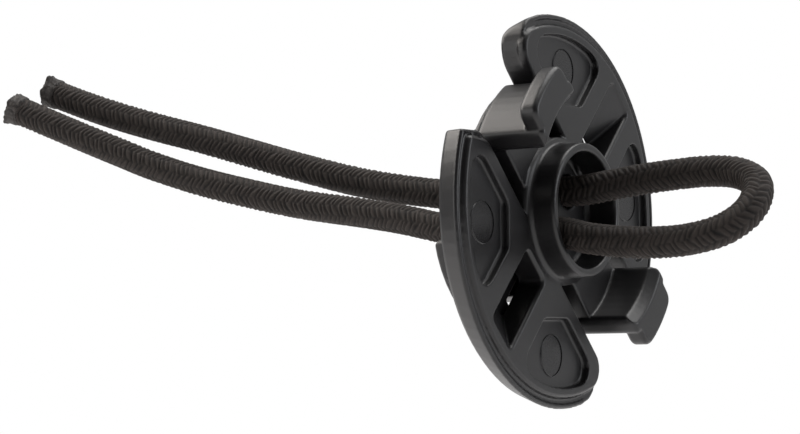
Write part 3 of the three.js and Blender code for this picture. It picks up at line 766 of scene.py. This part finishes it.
springPlan = {
    "radius": 1.4,
    "wire": 0.25,
    "wireSides": 10,
    "turns": 6.5,
    "seat": 7.6,  # from the axis to the spring's inner end
    "pad": 14.2,  # and to its outer end
    "travel": 2.0,
    "steps": 28,  # rings of the wire in each turn
    "layers": (-9.7, -6.7),
}
for side, end, layer in zip(("lower", "upper"), (-1, 1), springPlan["layers"]):
    bpy.ops.object.select_all(action="DESELECT")
    bpy.ops.mesh.primitive_circle_add(
        vertices=springPlan["wireSides"],
        radius=springPlan["wire"],
        rotation=(math.pi / 2, 0, 0),
    )
    spring = bpy.context.object
    spring.name = "returnSpring" + side.capitalize()
    spring.location = (springPlan["radius"], 0, 0)
    settle(spring)
    rise = springPlan["pad"] - springPlan["seat"] - 2 * springPlan["wire"]
    rings = int(springPlan["steps"] * springPlan["turns"])
    useModifier(
        spring,
        "SCREW",
        axis="Z",
        angle=2 * math.pi * springPlan["turns"],
        screw_offset=rise,
        iterations=1,
        steps=rings,
        render_steps=rings,
        use_merge_vertices=True,
    )
    pick(spring)
    bpy.ops.object.mode_set(mode="EDIT")
    bpy.ops.mesh.select_all(action="DESELECT")
    bpy.ops.mesh.select_non_manifold()
    bpy.ops.mesh.fill_holes(sides=0)
    bpy.ops.mesh.select_all(action="SELECT")
    bpy.ops.mesh.normals_make_consistent(inside=False)
    bpy.ops.object.mode_set(mode="OBJECT")
    start = springPlan["seat"] + springPlan["wire"]
    swing = Matrix(((0, 0, end), (0, 1, 0), (-end, 0, 0)))  # the coil's own axis onto the lobes' direction
    spring.data.transform(Matrix.Translation((end * start, 0, layer)) @ swing.to_4x4())
    turnIntoPlace(spring, lockTurn * millimetre)
    dress(spring, springSteel)
    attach(spring, "hub")
    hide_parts("return_spring_" + side)
    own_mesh(spring)
    print(spring.name, "triangles", triangleCount(spring))

pinPlan = {
    "radius": 2.75,
    "reach": 19.4,  # from the axis to a mark's middle
    "spread": 38.5,  # degrees to either side of a lobe's middle
    "floor": -1.1,  # of the recess that the mark stands in
    "height": 0.07,
    "depth": 0.5,
    "sides": 72,
    "bevel": 0.048,
    "rim": 0.16,
    "groove": 0.08,  # width of the fine line inside the rim
    "grooveDepth": 0.056,
}
for lobeName, lobeTurn in (("Upper", 0.0), ("Lower", 180.0)):
    for sideName, sideTurn in (("Left", pinPlan["spread"]), ("Right", -pinPlan["spread"])):
        angle = math.radians(lobeTurn + sideTurn)
        bpy.ops.object.select_all(action="DESELECT")
        bpy.ops.mesh.primitive_cylinder_add(
            vertices=pinPlan["sides"],
            radius=pinPlan["radius"],
            depth=pinPlan["depth"],
        )
        mark = bpy.context.object
        mark.name = "ejectorMark" + lobeName + sideName
        middle = pinPlan["floor"] + pinPlan["height"] - pinPlan["depth"] / 2
        mark.location = (pinPlan["reach"] * math.cos(angle), pinPlan["reach"] * math.sin(angle), middle)
        settle(mark)
        bpy.ops.object.mode_set(mode="EDIT")
        bpy.ops.mesh.select_mode(type="FACE")
        bpy.ops.mesh.select_all(action="DESELECT")
        bpy.ops.object.mode_set(mode="OBJECT")
        top = max(mark.data.polygons, key=lambda face: face.center.z)
        top.select = True
        bpy.ops.object.mode_set(mode="EDIT")
        bpy.ops.mesh.bevel(offset=pinPlan["bevel"], segments=2)
        bpy.ops.mesh.inset(thickness=pinPlan["rim"])
        bpy.ops.mesh.inset(thickness=pinPlan["groove"], depth=-pinPlan["grooveDepth"])
        bpy.ops.object.mode_set(mode="OBJECT")
        turnIntoPlace(mark, lockTurn * millimetre)
        dress(mark, pinMarkPlastic, smooth=False)
        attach(mark, "hub")
print("springs and pin marks made")


# floor, light and surroundings

stagePlan = {
    "floorHeight": -0.075,
    "floorHalf": 1.1,
    "floorTone": (0.86, 0.86, 0.87, 1),
    "floorRoughness": 0.9,
    "lights": [  # direction from the object, distance, size, watts, colour
        ("leftSoftbox", (-0.72, -0.20, 0.66), 0.55, 0.42, 2.6, (1.0, 0.95, 0.90)),
        ("topSoftbox", (0.15, 0.30, 0.95), 0.60, 0.50, 2.4, (1.0, 0.99, 0.98)),
        ("rightStrip", (0.90, 0.35, 0.25), 0.55, 0.30, 0.8, (0.94, 0.96, 1.0)),
        ("frontLeftFill", (-0.60, -0.80, 0.05), 0.70, 0.55, 1.5, (1.0, 0.99, 0.98)),
    ],
    "skyBright": 0.50,
    "skyDim": 0.03,
    "skyToward": (-0.05, 0.86, 0.50),  # the direction that the surroundings are bright in
    "skyFrom": -0.35,
    "skyTo": 0.75,
}
bpy.ops.object.select_all(action="DESELECT")
bpy.ops.mesh.primitive_plane_add(size=2 * stagePlan["floorHalf"], location=(0, 0, stagePlan["floorHeight"]))
floor = bpy.context.object
floor.name = "studioFloor"
floorMaterial, _, floorShader = nodeTree("studioFloor")
floorShader.inputs["Base Color"].default_value = stagePlan["floorTone"]
floorShader.inputs["Roughness"].default_value = stagePlan["floorRoughness"]
floor.data.materials.append(floorMaterial)

for name, direction, distance, size, watts, colour in stagePlan["lights"]:
    towards = Vector(direction).normalized()
    bpy.ops.object.light_add(type="AREA", location=towards * distance)
    lamp = bpy.context.object
    lamp.name = name
    lamp.rotation_mode = "QUATERNION"
    lamp.rotation_quaternion = towards.to_track_quat("Z", "Y")
    lamp.data.size = size
    lamp.data.energy = watts
    lamp.data.color = colour

world = bpy.data.worlds.new("studioSurround")
bpy.context.scene.world = world
world.use_nodes = True
sky = world.node_tree
sky.nodes.clear()
skyOut = add(sky, "ShaderNodeOutputWorld")
skyPlace = add(sky, "ShaderNodeTexCoord")
skyDot = add(sky, "ShaderNodeVectorMath", operation="DOT_PRODUCT")
link(sky, skyPlace.outputs["Generated"], skyDot.inputs[0])
skyDot.inputs[1].default_value = stagePlan["skyToward"]
skyRamp = add(sky, "ShaderNodeMapRange")
skyRamp.inputs["From Min"].default_value = stagePlan["skyFrom"]
skyRamp.inputs["From Max"].default_value = stagePlan["skyTo"]
skyRamp.inputs["To Min"].default_value = stagePlan["skyDim"]
skyRamp.inputs["To Max"].default_value = stagePlan["skyBright"]
link(sky, skyDot.outputs["Value"], skyRamp.inputs["Value"])
skyLit = add(sky, "ShaderNodeBackground")
skyLit.inputs["Color"].default_value = (1, 1, 1, 1)
link(sky, skyRamp.outputs[0], skyLit.inputs["Strength"])
skySeen = add(sky, "ShaderNodeBackground")
skySeen.inputs["Color"].default_value = (1, 1, 1, 1)
skySeen.inputs["Strength"].default_value = 1.0
skyPath = add(sky, "ShaderNodeLightPath")
skyMix = add(sky, "ShaderNodeMixShader")
link(sky, skyPath.outputs["Is Camera Ray"], skyMix.inputs[0])
link(sky, skyLit.outputs[0], skyMix.inputs[1])
link(sky, skySeen.outputs[0], skyMix.inputs[2])
link(sky, skyMix.outputs[0], skyOut.inputs["Surface"])
print("studio made")
